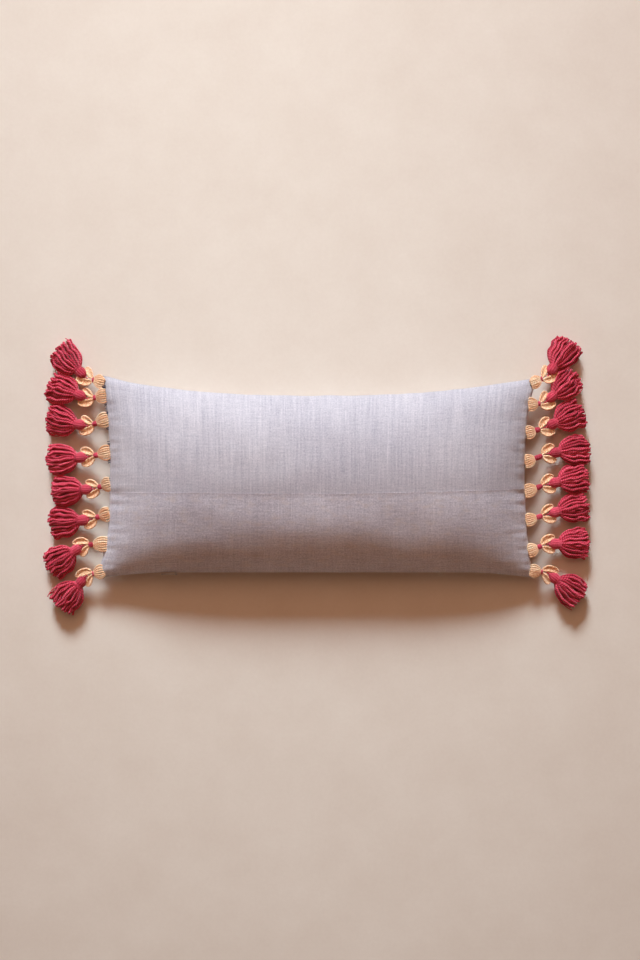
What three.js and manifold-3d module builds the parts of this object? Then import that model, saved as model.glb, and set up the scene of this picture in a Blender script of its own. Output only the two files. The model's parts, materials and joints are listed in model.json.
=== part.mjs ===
// A long lumbar throw pillow lying on its back, with eight tassel drops on each short side.
// Units are millimetres. +X runs along the pillow, +Y across it away from the zip, +Z up.
// The origin is the middle of the flat patch that the pillow rests on.

import * as THREE from 'three';
import { mergeVertices } from 'three/addons/utils/BufferGeometryUtils.js';
import Module from 'manifold-3d';

// ---- driving dimensions: cover ----
const COVER_LENGTH = 758;
const COVER_WIDTH = 352;
const END_BOW = 14;
const FAR_BOW = 32;
const ZIP_SIDE_BOW = 9;
const SEAM_HEIGHT = 44;
const CORNER_DROOP = 12;
const FRONT_CROWN = 78;
const BACK_CROWN = 60;
const CLOTH = 1.2;
const JOIN_OFFSET = -27;

// ---- how the cover's bows and its filling round off: higher powers keep them nearer the corners ----
const FAR_BOW_POWER = 2.4;
const ZIP_BOW_POWER = 1.6;
const DROOP_POWER = 1.5;
const FILL_POWER = 4;
const END_ROUNDING = 0.62;
const SIDE_ROUNDING = 0.66;

// ---- insert ----
const INSERT_INSET = 17;
const CASING = 0.8;
const CASING_SLACK = 4;
const FILL_INSET = 30;
const FILL_SLACK = 8;
const FILL_EDGE = 0.8;

// ---- zip ----
const ZIP_LENGTH = 508;
const ZIP_STRAIGHT_SPARE = 8;
const ZIP_SLIT = 3;
const COIL_SETBACK = 2.2;
const TAPE_WIDTH = 11.8;
const TAPE_THICKNESS = 0.6;
const COIL_DEPTH = 2.4;
const COIL_RISE = 1.7;
const SLIDER_LENGTH = 9;
const PLATE = 1;
const POST = 0.6;
const NOSE_REACH = 4.6;
const NOSE_WIDTH = 4.8;
const NOSE_TIP = 1.7;
const PIN_RADIUS = 0.8;
const KNUCKLE_RADIUS = 2.3;
const PULL_LENGTH = 26;
const PULL_WIDTH = 5;
const PULL_THICKNESS = 1.6;

// ---- tassel drops ----
const DROPS_PER_END = 8;
const LOOP_SETBACK = 5.5;
const ROOT_ROUND = 2;
const LOOP_THICKNESS = 5;
const WAIST = 6.4;
const WRAP_LENGTH = 6;
const WRAP_WALL = 1.8;
const EYE_WIDTH = 14.5;
const EYE_BAR = 4;
const EYE_CHEEK = 3;
const EYE_CROTCH = 2;
const EYE_SHOULDER = 5;
const EYE_HEIGHT = 24;
const HANGER = 1.5;
const TASSEL_LENGTH = 75;
const HEAD_RADIUS = 8.5;
const HEAD_LENGTH = 18;
const HEAD_ROUND = 4;
const CROWN_RADIUS = 3.8;
const NECK_RADIUS = 6.4;
const NECK_LENGTH = 3;
const SKIRT_FLATNESS = 0.6;
const RING_SIDES = 10;
const BELL_SIDES = 12;

// The skirt's bell: shares of its length, and of its half width there.
const SKIRT_BELL = [[0.25, 0.58], [0.6, 0.86], [0.93, 1], [1, 0.9]];

// ---- clearances ----
const TOUCHING_GAP = 0.3;
const RUNNING_GAP = 0.4;
const LINK_GAP = 1.2;
const SEWN_MARGIN = 1;

// ---- each drop: place along its end seam as a share of half the width, the loop's swing and length,
//      and the tassel's swing; swings are degrees from straight out, positive away from the zip ----
const LEFT_DROPS = [
  { seam: 0.97, loopYaw: 12, reach: 26, tasselYaw: 43 },
  { seam: 0.82, loopYaw: -10, reach: 29, tasselYaw: 22 },
  { seam: 0.58, loopYaw: -20, reach: 36, tasselYaw: 10 },
  { seam: 0.25, loopYaw: -12, reach: 38, tasselYaw: -5 },
  { seam: -0.07, loopYaw: -18, reach: 32, tasselYaw: -4 },
  { seam: -0.37, loopYaw: -18, reach: 34, tasselYaw: -7 },
  { seam: -0.67, loopYaw: -3, reach: 40, tasselYaw: -33 },
  { seam: -0.955, loopYaw: -12, reach: 27, tasselYaw: -48 },
];
const RIGHT_DROPS = [
  { seam: 0.965, loopYaw: 22, reach: 27, tasselYaw: 57 },
  { seam: 0.735, loopYaw: 8, reach: 28, tasselYaw: 39 },
  { seam: 0.455, loopYaw: 16, reach: 34, tasselYaw: 24 },
  { seam: 0.165, loopYaw: 20, reach: 42, tasselYaw: 9 },
  { seam: -0.135, loopYaw: 18, reach: 41, tasselYaw: 12 },
  { seam: -0.425, loopYaw: 15, reach: 38, tasselYaw: 14 },
  { seam: -0.73, loopYaw: 20, reach: 32, tasselYaw: 1 },
  { seam: -0.945, loopYaw: -6, reach: 26, tasselYaw: -38 },
];

// ---- worked-out sizes ----
const HALF_LENGTH = COVER_LENGTH / 2;
const HALF_WIDTH = COVER_WIDTH / 2;
const ZIP_EDGE_Y = ZIP_SIDE_BOW - HALF_WIDTH;
const ZIP_SHARE = (ZIP_LENGTH / 2 + ZIP_STRAIGHT_SPARE) / HALF_LENGTH;
const JOIN_SHARE = JOIN_OFFSET / -ZIP_EDGE_Y;
const DROP_PITCH = (COVER_WIDTH - 2 * SEWN_MARGIN) / (DROPS_PER_END - 1);
const FAN_WIDTH = DROP_PITCH / 2 - SEWN_MARGIN;
const SKIRT_WIDTH = DROP_PITCH;
const COIL_GAP = POST / 2 + TOUCHING_GAP;
const TAPE_RISE = COIL_GAP + COIL_RISE + TOUCHING_GAP;
const SLIDER_X = -(ZIP_LENGTH - SLIDER_LENGTH) / 2 + RUNNING_GAP;
const PIN_OUT = NOSE_REACH - NOSE_TIP;
const HANGER_INNER = Math.hypot(EYE_BAR, LOOP_THICKNESS) / 2 + LINK_GAP;
const RING_RADIUS = HANGER_INNER / Math.cos(Math.PI / RING_SIDES) + HANGER;
const EYE_LENGTH = RING_RADIUS + HANGER + EYE_CROTCH + 2 * LINK_GAP;

const wasm = await Module();
wasm.setup();

// ---- materials ----
const cloth = (color) => new THREE.MeshStandardMaterial({ color, roughness: 0.95, metalness: 0 });
const upperCloth = cloth(0xb7afbc);
const lowerCloth = cloth(0xb9adb0);
const backCloth = cloth(0xaaa3b0);
const calico = cloth(0xe9e4da);
const fibre = cloth(0xf6f5f2);
const peachYarn = cloth(0xe9a878);
const redYarn = cloth(0xb21e3e);
const tapeCloth = cloth(0x8d8794);
const coilNylon = new THREE.MeshStandardMaterial({ color: 0x8a8492, roughness: 0.45, metalness: 0 });
const sliderMetal = new THREE.MeshStandardMaterial({ color: 0x9a9a9c, roughness: 0.35, metalness: 1 });

// ---- helpers ----
function toSolid(geometry) {
  const bare = geometry.clone();
  bare.deleteAttribute('normal');
  bare.deleteAttribute('uv');
  const merged = mergeVertices(bare, 1e-5);
  return new wasm.Manifold(new wasm.Mesh({
    numProp: 3,
    vertProperties: new Float32Array(merged.attributes.position.array),
    triVerts: new Uint32Array(merged.index.array),
  }));
}

function toGeometry(solid) {
  const { vertProperties, triVerts } = solid.getMesh();
  const geometry = new THREE.BufferGeometry();
  geometry.setAttribute('position', new THREE.BufferAttribute(vertProperties, 3));
  geometry.setIndex(new THREE.BufferAttribute(triVerts, 1));
  geometry.computeVertexNormals();
  return geometry;
}

function named(name, geometry, material) {
  const mesh = new THREE.Mesh(geometry, material);
  mesh.name = name;
  return mesh;
}

function block(low, high) {
  const size = high.map((v, i) => v - low[i]);
  const middle = high.map((v, i) => (v + low[i]) / 2);
  return new THREE.BoxGeometry(...size).translate(...middle);
}

// An outline drawn in XY, extruded evenly to both sides of the XY plane.
function plate(outline, thickness, hole) {
  const shape = new THREE.Shape(outline.map(([x, y]) => new THREE.Vector2(x, y)));
  if (hole) shape.holes.push(new THREE.Path(hole.map(([x, y]) => new THREE.Vector2(x, y))));
  const geometry = new THREE.ExtrudeGeometry(shape, { depth: thickness, bevelEnabled: false });
  return geometry.translate(0, 0, -thickness / 2);
}

function polygon(radius, sides) {
  return Array.from({ length: sides }, (_, i) => {
    const angle = ((i + 0.5) / sides) * 2 * Math.PI;
    return [radius * Math.cos(angle), radius * Math.sin(angle)];
  });
}

const mirrored = (outline) => outline.map(([x, y]) => [x, -y]).reverse();

// ---- the pillow's form ----
// s and t run from -1 to 1 along and across the cover.
const pastZip = (s) => Math.max(0, (Math.abs(s) - ZIP_SHARE) / (1 - ZIP_SHARE));

function planPoint(s, t) {
  const halfLength = HALF_LENGTH - END_BOW * (1 - t * t);
  const farEdge = HALF_WIDTH - FAR_BOW * (1 - Math.abs(s) ** FAR_BOW_POWER);
  const zipEdge = HALF_WIDTH - ZIP_SIDE_BOW * (1 - pastZip(s) ** ZIP_BOW_POWER);
  return [s * halfLength, t * (t > 0 ? farEdge : zipEdge)];
}

function seamHeight(x, y) {
  const nearCorner = pastZip(x / HALF_LENGTH) ** DROOP_POWER * (y / HALF_WIDTH) ** 2;
  return SEAM_HEIGHT - CORNER_DROOP * nearCorner;
}

const loft = (s, t) => (1 - s ** FILL_POWER) ** END_ROUNDING * (1 - t * t) ** SIDE_ROUNDING;

// Lines across the length are even along the zip and closer towards the corners.
const ZIP_STEPS = [1, 2, 3, 4, 5, 6];
const END_STEPS = [1, 2, 3, 4];
const quarterTurn = (i) => Math.sin((i / END_STEPS.length) * (Math.PI / 2));
const halfLines = [
  ...ZIP_STEPS.map((i) => (i / ZIP_STEPS.length) * ZIP_SHARE),
  ...END_STEPS.map((i) => ZIP_SHARE + quarterTurn(i) * (1 - ZIP_SHARE)),
];
const LENGTH_LINES = [...halfLines.map((s) => -s).reverse(), 0, ...halfLines];
const LOWER_LINES = [-1, -0.955, -0.85, -0.66, -0.42, JOIN_SHARE];
const UPPER_LINES = [JOIN_SHARE, 0.12, 0.4, 0.66, 0.85, 0.955, 1];
const WIDTH_LINES = [...LOWER_LINES, ...UPPER_LINES.slice(1)];

// A closed sheet or lens: heights(s, t, x, y) gives its lower and upper surface at each grid point.
function quilt(widthLines, inset, heights, shift = () => 0) {
  const columns = LENGTH_LINES.length - 1;
  const rows = widthLines.length - 1;
  const geometry = new THREE.BoxGeometry(1, 1, 1, columns, rows, 1);
  const position = geometry.attributes.position;
  for (let i = 0; i < position.count; i += 1) {
    const s = LENGTH_LINES[Math.round((position.getX(i) + 0.5) * columns)];
    const t = widthLines[Math.round((position.getY(i) + 0.5) * rows)];
    const [planX, planY] = planPoint(s, t);
    const x = planX * (1 - inset / HALF_LENGTH);
    const y = planY * (1 - inset / HALF_WIDTH);
    const [low, high] = heights(s, t, x, y);
    position.setXYZ(i, x, y + shift(t), position.getZ(i) > 0 ? high : low);
  }
  splitAlike(geometry);
  return geometry;
}

// A box's underside splits its squares along the other diagonal from its top, which would let a thin
// curved sheet cut through itself, so the underside's squares are split again the same way.
function splitAlike(geometry) {
  const corners = geometry.index.array;
  const underside = geometry.groups[5];
  for (let i = underside.start; i < underside.start + underside.count; i += 6) {
    const [a, b, d, , c] = corners.slice(i, i + 6);
    corners.set([a, b, c, a, c, d], i);
  }
}

// Half the space between front and back cloth: a touching gap, or half the slit where the zip shows.
function halfSeamGap(s, t) {
  return t === -1 && Math.abs(s) <= ZIP_SHARE + 1e-6 ? ZIP_SLIT / 2 : TOUCHING_GAP / 2;
}

function frontPanel(widthLines, joinSide) {
  const heights = (s, t, x, y) => {
    const inner = seamHeight(x, y) + halfSeamGap(s, t) + FRONT_CROWN * loft(s, t);
    return [inner, inner + CLOTH];
  };
  const clearJoin = (t) => (t === JOIN_SHARE ? (joinSide * TOUCHING_GAP) / 2 : 0);
  return quilt(widthLines, 0, heights, clearJoin);
}

function backPanel() {
  return quilt(WIDTH_LINES, 0, (s, t, x, y) => {
    const inner = Math.max(CLOTH, seamHeight(x, y) - halfSeamGap(s, t) - BACK_CROWN * loft(s, t));
    return [inner - CLOTH, inner];
  });
}

function insertFront() {
  return quilt(WIDTH_LINES, INSERT_INSET, (s, t, x, y) => {
    const inner = seamHeight(x, y) + TOUCHING_GAP / 2 + (FRONT_CROWN - CASING_SLACK) * loft(s, t);
    return [inner, inner + CASING];
  });
}

function insertBack() {
  const lowest = CLOTH + CASING_SLACK / 2 + CASING;
  return quilt(WIDTH_LINES, INSERT_INSET, (s, t, x, y) => {
    const drop = TOUCHING_GAP / 2 + (BACK_CROWN - CASING_SLACK) * loft(s, t);
    const inner = Math.max(lowest, seamHeight(x, y) - drop);
    return [inner - CASING, inner];
  });
}

function fibreFill() {
  const lowest = CLOTH + CASING_SLACK + CASING;
  return quilt(WIDTH_LINES, FILL_INSET, (s, t, x, y) => {
    const seam = seamHeight(x, y);
    const low = seam - FILL_EDGE - (BACK_CROWN - FILL_SLACK) * loft(s, t);
    return [Math.max(lowest, low), seam + FILL_EDGE + (FRONT_CROWN - FILL_SLACK) * loft(s, t)];
  });
}

// ---- zip: lies inside the slit of the straight seam, its slider facing out ----
// side is 1 for the front cloth's half and -1 for the back cloth's half.
function zipStrip(side, depthStart, depthEnd, riseStart, riseEnd) {
  const rises = [SEAM_HEIGHT + side * riseStart, SEAM_HEIGHT + side * riseEnd].sort((a, b) => a - b);
  return block(
    [-ZIP_LENGTH / 2, ZIP_EDGE_Y + depthStart, rises[0]],
    [ZIP_LENGTH / 2, ZIP_EDGE_Y + depthEnd, rises[1]],
  );
}

function zipTape(side) {
  const tapeEnd = COIL_SETBACK + TAPE_WIDTH;
  return zipStrip(side, COIL_SETBACK, tapeEnd, TAPE_RISE, TAPE_RISE + TAPE_THICKNESS);
}

function zipCoil(side) {
  const coilEnd = COIL_SETBACK + COIL_DEPTH;
  return zipStrip(side, COIL_SETBACK, coilEnd, COIL_GAP, COIL_GAP + COIL_RISE);
}

// Local frame of the slider: origin on the pull's pin, X along the zip, Y into the pillow.
function zipSlider() {
  const behindCoil = PIN_OUT + COIL_SETBACK + COIL_DEPTH + RUNNING_GAP;
  const innerHalf = TAPE_RISE - RUNNING_GAP;
  const outerHalf = ZIP_SLIT / 2 - RUNNING_GAP;
  const long = SLIDER_LENGTH / 2;
  const inner = block([-long, behindCoil, -innerHalf], [long, behindCoil + PLATE, innerHalf]);
  const post = block([-long / 2, PIN_OUT, -POST / 2], [long / 2, behindCoil + PLATE / 2, POST / 2]);
  const outer = block([-long, PIN_OUT, -outerHalf], [long, PIN_OUT + PLATE, outerHalf]);
  const noseHalf = NOSE_WIDTH / 2;
  const noseRoot = PIN_OUT + PLATE / 2;
  const noseSide = [[noseHalf / 3, -NOSE_TIP], [noseHalf * 0.8, -NOSE_TIP * 0.7], [noseHalf, noseRoot]];
  const noseOutline = [...noseSide.map(([x, y]) => [-x, y]).reverse(), ...noseSide];
  const nose = plate(noseOutline, 2 * outerHalf, polygon(PIN_RADIUS + TOUCHING_GAP, RING_SIDES));
  const solids = [inner, post, outer, nose].map(toSolid);
  return toGeometry(solids.reduce((joined, solid) => joined.add(solid)));
}

// The pull lies back along the seam, two cheeks and a pin holding it to the slider's nose.
function zipPull() {
  const half = PULL_THICKNESS / 2;
  const lowerEdge = [[-PULL_LENGTH, -half * 0.6], [-PULL_LENGTH + 1, -half], [-KNUCKLE_RADIUS, -half]];
  const knuckle = [-120, -80, -40, 0].map((degrees) => degrees * THREE.MathUtils.DEG2RAD)
    .map((angle) => [KNUCKLE_RADIUS * Math.cos(angle), KNUCKLE_RADIUS * Math.sin(angle)]);
  const lowerHalf = [...lowerEdge, ...knuckle];
  const tab = toSolid(plate([...lowerHalf, ...mirrored(lowerHalf.slice(0, -1))], PULL_WIDTH));
  const slotHalf = ZIP_SLIT / 2 - RUNNING_GAP + TOUCHING_GAP;
  const slotEnd = NOSE_WIDTH / 2 + RUNNING_GAP;
  const slot = toSolid(block([-slotEnd, -slotEnd, -slotHalf], [slotEnd, slotEnd, slotHalf]));
  const pin = toSolid(plate(polygon(PIN_RADIUS, RING_SIDES), PULL_WIDTH));
  return toGeometry(tab.subtract(slot).add(pin));
}

// ---- tassel drops ----
// end is -1 for the left end and 1 for the right end.
function dropFrame(drop, end) {
  const t = drop.seam;
  const [edgeX, y] = planPoint(end, t);
  const outward = new THREE.Vector2(end, (-2 * END_BOW * y) / HALF_WIDTH ** 2).normalize();
  const x = edgeX + LOOP_SETBACK * outward.x;
  const root = new THREE.Vector3(x, y + LOOP_SETBACK * outward.y, seamHeight(edgeX, y));
  const fall = root.z - EYE_HEIGHT;
  const slope = Math.asin(fall / drop.reach);
  const plan = drop.reach * Math.cos(slope);
  const turn = (yaw) => (end > 0 ? yaw : 180 - yaw) * THREE.MathUtils.DEG2RAD;
  const loopTurn = turn(drop.loopYaw);
  const eye = new THREE.Vector3(
    root.x + plan * Math.cos(loopTurn),
    root.y + plan * Math.sin(loopTurn),
    EYE_HEIGHT,
  );
  return { root, eye, slope, loopTurn, tasselTurn: turn(drop.tasselYaw), outward };
}

// Flat peach skein: a fan held at the seam, a waist, then an eye that the tassel hangs in.
// Local frame: X along the skein from the seam hinge to the eye, Z out of its flat face.
function peachLoop(drop, frame) {
  const { reach } = drop;
  const waistEnd = reach - EYE_LENGTH;
  const waistStart = waistEnd - WRAP_LENGTH - 2 * RUNNING_GAP;
  const seamward = frame.outward.clone().rotateAround(new THREE.Vector2(), -frame.loopTurn);
  const rootX = (y, out) => (out - y * seamward.y) / (Math.cos(frame.slope) * seamward.x);
  const halfFan = FAN_WIDTH / 2;
  const halfWaist = WAIST / 2;
  const halfEye = EYE_WIDTH / 2 + EYE_CHEEK;
  const side = (sign) => [
    [rootX(sign * halfFan, -ROOT_ROUND), sign * halfFan],
    [rootX(sign * halfFan, 1), sign * halfFan],
    [waistStart, sign * halfWaist],
    [waistEnd, sign * halfWaist],
    [waistEnd + EYE_CROTCH * 1.75, sign * halfEye * 0.82],
    [reach - EYE_SHOULDER, sign * halfEye],
    [reach + EYE_BAR / 2, sign * halfEye * 0.45],
  ];
  const outline = [...side(-1), ...side(1).reverse()];
  const halfHole = EYE_WIDTH / 2;
  const eyeHole = [
    [waistEnd + EYE_CROTCH, 0],
    [waistEnd + EYE_CROTCH * 2, halfHole * 0.7],
    [reach - EYE_SHOULDER, halfHole],
    [reach - EYE_BAR / 2, halfHole * 0.7],
  ];
  const hole = [...eyeHole, ...mirrored(eyeHole.slice(1))];
  const geometry = plate(outline, 1, hole);
  const position = geometry.attributes.position;
  for (let i = 0; i < position.count; i += 1) {
    const atRoot = position.getX(i) < waistStart - TOUCHING_GAP;
    const atWaist = position.getX(i) < waistEnd + TOUCHING_GAP;
    const thickness = atRoot ? 2 * ROOT_ROUND : atWaist ? WAIST : LOOP_THICKNESS;
    position.setZ(i, position.getZ(i) * thickness);
  }
  return geometry;
}

function waistWrap(drop) {
  const clearRadius = Math.hypot(WAIST, WAIST) / 2 + TOUCHING_GAP;
  const middle = drop.reach - EYE_LENGTH - RUNNING_GAP - WRAP_LENGTH / 2;
  const bore = polygon(clearRadius / Math.cos(Math.PI / RING_SIDES), RING_SIDES);
  const ring = plate(polygon(clearRadius + WRAP_WALL, RING_SIDES), WRAP_LENGTH, bore);
  return ring.rotateY(Math.PI / 2).translate(middle, 0, 0);
}

// Wrapped head, tied neck and a bell-shaped skirt, hung from a ring of its own yarn.
// Local frame: origin in the middle of the ring, X towards the skirt's end.
function tassel() {
  const headStart = RING_RADIUS;
  const headEnd = headStart + HEAD_LENGTH;
  const skirt = TASSEL_LENGTH - headEnd;
  const halfSkirt = SKIRT_WIDTH / 2;
  const profile = [
    [headStart, 0],
    [headStart, CROWN_RADIUS],
    [headStart + HEAD_ROUND, HEAD_RADIUS],
    [headEnd - NECK_LENGTH, HEAD_RADIUS],
    [headEnd, NECK_RADIUS],
    ...SKIRT_BELL.map(([along, across]) => [headEnd + skirt * along, halfSkirt * across]),
    [TASSEL_LENGTH, 0],
  ];
  const points = profile.map(([x, radius]) => new THREE.Vector2(radius, x));
  const bell = new THREE.LatheGeometry(points, BELL_SIDES).rotateZ(-Math.PI / 2);
  const position = bell.attributes.position;
  const flatFrom = skirt * SKIRT_BELL[1][0];
  for (let i = 0; i < position.count; i += 1) {
    const along = (position.getX(i) - headEnd) / flatFrom;
    const flat = 1 + (SKIRT_FLATNESS - 1) * Math.min(1, Math.max(0, along));
    position.setZ(i, position.getZ(i) * flat);
  }
  const ring = new THREE.TorusGeometry(RING_RADIUS, HANGER, 6, RING_SIDES).rotateX(Math.PI / 2);
  return toGeometry(toSolid(bell).add(toSolid(ring)));
}

function addDrop(pillow, drop, end, label) {
  const frame = dropFrame(drop, end);
  const loop = new THREE.Group();
  loop.position.copy(frame.root);
  loop.rotation.set(0, frame.slope, frame.loopTurn, 'ZYX');
  loop.add(named(`${label.side}_peach_loop_${label.number}`, peachLoop(drop, frame), peachYarn));
  loop.add(named(`${label.side}_waist_wrap_${label.number}`, waistWrap(drop), redYarn));
  const skirtDepth = (SKIRT_WIDTH / 2) * SKIRT_FLATNESS;
  const tilt = Math.asin((EYE_HEIGHT - TOUCHING_GAP - skirtDepth) / TASSEL_LENGTH);
  const hung = new THREE.Group();
  hung.position.copy(frame.eye);
  hung.rotation.set(0, tilt, frame.tasselTurn, 'ZYX');
  hung.add(named(`${label.side}_tassel_${label.number}`, tassel(), redYarn));
  pillow.add(loop, hung);
}

// ---- the object ----
const pillow = new THREE.Group();
pillow.add(
  named('front_upper_panel', frontPanel(UPPER_LINES, 1), upperCloth),
  named('front_lower_panel', frontPanel(LOWER_LINES, -1), lowerCloth),
  named('back_panel', backPanel(), backCloth),
  named('insert_front_panel', insertFront(), calico),
  named('insert_back_panel', insertBack(), calico),
  named('fibre_fill', fibreFill(), fibre),
  named('zip_front_tape', zipTape(1), tapeCloth),
  named('zip_back_tape', zipTape(-1), tapeCloth),
  named('zip_front_coil', zipCoil(1), coilNylon),
  named('zip_back_coil', zipCoil(-1), coilNylon),
);

const slider = new THREE.Group();
slider.position.set(SLIDER_X, ZIP_EDGE_Y - PIN_OUT, SEAM_HEIGHT);
slider.add(named('zip_slider', zipSlider(), sliderMetal), named('zip_pull', zipPull(), sliderMetal));
pillow.add(slider);

LEFT_DROPS.forEach((drop, i) => addDrop(pillow, drop, -1, { side: 'left', number: i + 1 }));
RIGHT_DROPS.forEach((drop, i) => addDrop(pillow, drop, 1, { side: 'right', number: i + 1 }));

export default pillow;
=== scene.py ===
"""Looks of a long lumbar throw pillow: slub cotton cover, concealed zip and yarn tassels on both ends."""

import json
import math

import bpy
import numpy as np
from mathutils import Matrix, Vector, noise


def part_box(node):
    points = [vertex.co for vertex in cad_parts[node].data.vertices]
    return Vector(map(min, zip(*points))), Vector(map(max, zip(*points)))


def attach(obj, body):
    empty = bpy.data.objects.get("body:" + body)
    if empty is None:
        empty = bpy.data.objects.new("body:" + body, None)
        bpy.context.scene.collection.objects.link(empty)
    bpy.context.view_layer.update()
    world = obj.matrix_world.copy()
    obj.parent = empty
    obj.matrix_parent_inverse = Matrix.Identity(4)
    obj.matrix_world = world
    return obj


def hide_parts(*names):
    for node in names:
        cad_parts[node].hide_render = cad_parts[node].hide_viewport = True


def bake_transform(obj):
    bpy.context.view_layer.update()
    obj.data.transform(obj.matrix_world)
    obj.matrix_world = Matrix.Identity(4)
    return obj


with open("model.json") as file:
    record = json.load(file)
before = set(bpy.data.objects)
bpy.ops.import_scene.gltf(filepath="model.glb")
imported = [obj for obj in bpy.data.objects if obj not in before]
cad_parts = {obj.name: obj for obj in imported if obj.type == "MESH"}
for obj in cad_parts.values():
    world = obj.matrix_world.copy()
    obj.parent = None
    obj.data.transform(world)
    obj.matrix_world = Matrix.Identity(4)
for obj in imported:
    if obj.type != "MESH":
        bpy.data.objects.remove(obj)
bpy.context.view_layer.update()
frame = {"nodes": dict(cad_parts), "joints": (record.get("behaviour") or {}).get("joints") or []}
JOINTS = {joint["name"]: joint for joint in frame["joints"]}
MM = 0.001
SIDES = {"left": -1, "right": 1}
DROPS_PER_END = 8

# ---- cover: the plan of its seam, how full it is, and how finely it is modelled ----
END_BOW = 14 * MM
FAR_BOW = 32 * MM
ZIP_SIDE_BOW = 9 * MM
FAR_BOW_POWER = 2.4
ZIP_BOW_POWER = 1.6
CORNER_DROOP = 12 * MM
DROOP_POWER = 1.5
FILL_POWER = 4
END_ROUNDING = 0.62
SIDE_ROUNDING = 0.66
COLUMNS = 150
ROWS = 70
EDGE_CROWDING = 0.5
CUT_LENGTH = 787 * MM
CUT_WIDTH = 376 * MM
ZIP_TO_CORNER_BOW = 8 * MM
BACK_CROWN = 60 * MM
BACK_CLOTH_SHIFT = 2.0
CLOTH = 0.6 * MM
FOLD_ANGLE = math.radians(42)

# ---- filling the cover: pressure blows the cut cloth up from a slightly slack form ----
START_FULLNESS = 0.93
CLOTH_SETTINGS = {
    "vertex_group_mass": "seam", "quality": 6, "tension_stiffness": 25, "compression_stiffness": 18,
    "shear_stiffness": 8, "bending_stiffness": 0.4, "use_pressure": True, "uniform_pressure_force": 4,
}
FRAMES = 20
MOST_SWELL = 26 * MM
FLOOR_SOFTNESS = 2.5 * MM
FLOOR_CONTACT = 0.1 * MM

# ---- seam: how far each corner (end, side) is pulled along and across, and the seam's own unevenness ----
CORNERS = ((-1, 1, 4 * MM, 5 * MM), (-1, -1, 11 * MM, 2 * MM), (1, 1, 7.5 * MM, 0), (1, -1, 2 * MM, 1 * MM))
CORNER_REACH = 42 * MM
SEAM_WANDER = 0.9 * MM
WANDER_UP_RUN = 34 * MM
WANDER_OUT_RUN = 27 * MM
WANDER_ACROSS_RUN = 31 * MM
ROOT_PULL = 1.6 * MM
ROOT_PULL_SPREAD = 9 * MM
GATHER = 11 * MM
GATHER_RUN = 60 * MM
GATHER_DEPTH = 2.6 * MM
GATHER_FADE = 22 * MM
SIDE_GATHER_FADE = 16 * MM
SIDE_GATHER_SHARE = 0.7
LUMP_DEPTH = 1.6 * MM
LUMP_RUN = (75 * MM, 55 * MM)
CRINKLE_DEPTH = 0.5 * MM
CRINKLE_RUN = (26 * MM, 32 * MM)
SEAM_FADE = 6 * MM
FLOOR_FADE = 12 * MM

# ---- insert ----
INSERT_EASE = 0.99
FIBRE_SHARE = 0.955
FIBRE_LUMPS = 1.6 * MM
FIBRE_LUMP_SCALE = 55
CASING_LOFT = 0.925
FIBRE_LOFT = 0.9

# ---- the join across the front: the lower cloth laps over the upper one; each fold is (slip, sink) ----
LAP = 8 * MM
LOWER_FOLDS = ((-0.15 * MM, 0.15 * MM), (0.15 * MM, 0.5 * MM), (LAP, 0.3 * MM))
UPPER_FOLDS = ((0.6 * MM, 0.7 * MM), (LAP, 0.9 * MM))
LAP_RISE = 0.6 * MM
JOIN_RISE_LEFT = 3 * MM
JOIN_RISE_RIGHT = 9 * MM

# ---- zip ----
COIL_PITCH = 1.5 * MM
COIL_WIRE = 0.32 * MM
SLIT_BLEND = 9 * MM
SLIT_HALF = 1.5 * MM
TURNED_UNDER = 5 * MM
SLIT_LIP = 1.2 * MM

# ---- yarns ----
SKIRT_YARN = 2.1 * MM
WRAP_YARN = 1.05 * MM
PEACH_YARN = 1.6 * MM
STITCH_THREAD = 0.6 * MM

# ---- tassel drops ----
SEAM_TO_HINGE = 5.5 * MM
HEAD_START = 5.5 * MM
HEAD_END = 24.5 * MM
HEAD_RADII = np.array([2.4, 5.9, 7.6, 8.4, 8.8, 8.9, 8.8, 8.4, 7.9, 7.2]) * MM
TIE_RADII = np.array([8.2, 8.4, 8.6]) * MM
TIE_BACK = 1.4 * MM
TIE_ON = 2.2 * MM
TIE_TURNS = 2.2
WOUND_PITCH = 1.8
CORE_INSIDE = 0.3 * MM
NECK_RADIUS = 6.6 * MM
SKIRT_HALF_WIDTH = 29.5 * MM
SKIRT_MIDDLE = 56 * MM
SKIRT_TOUCH = 2.5 * MM
SKIRT_HALF_DEPTH = 15 * MM
SKIRT_STRANDS = 58
SKIRT_POINTS = 24
SKIRT_LENGTH = 54 * MM
SKIRT_TUCK = 2 * MM
SKIRT_OPENING = 4.4
SKIRT_ARCH = 0.1
SKIRT_SWEEP = 4 * MM
SKIRT_LEAN = 0.1
SKIRT_START_SHARE = 0.75
SKIRT_LOCKS = 5
LOCK_SWAY = 1.8 * MM
YARN_SWAY = 1.1 * MM
YARN_BOB = 1.6 * MM
STRAYS = 1
STRAY_THICKNESS = 0.4
RING_RADIUS = 3.6 * MM
FAN_HALF_WIDTH = {"left": 11.6 * MM, "right": 10.4 * MM}
FAN_ROUNDING = 0.5
FAN_INSIDE = 3 * MM
FAN_TO_CORNER = 2.5 * MM
FAN_BULGE = 4.2 * MM
FAN_LIFT_AT_SEAM = 1.6 * MM
FAN_LAYERS = ((1, 7), (-1, 6))
FAN_KNOTS = 9
FAN_POINTS = 17
LAYER_APART = 0.9 * MM
LAYER_APART_AT_WAIST = 0.6 * MM
EYE_LENGTH = 12 * MM
EYE_HALF_WIDTH = 4.6 * MM
EYE_OUTLINE = (
    (-1.0, 0.3), (-0.75, 0.6), (-0.35, 1.0), (-0.08, 0.75), (0.0, 0.0),
    (-0.08, -0.75), (-0.35, -1.0), (-0.75, -0.6), (-1.0, -0.3),
)
EYE_YARNS = ((EYE_HALF_WIDTH, 0), (EYE_HALF_WIDTH * 0.72, 1.1 * MM))
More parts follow.
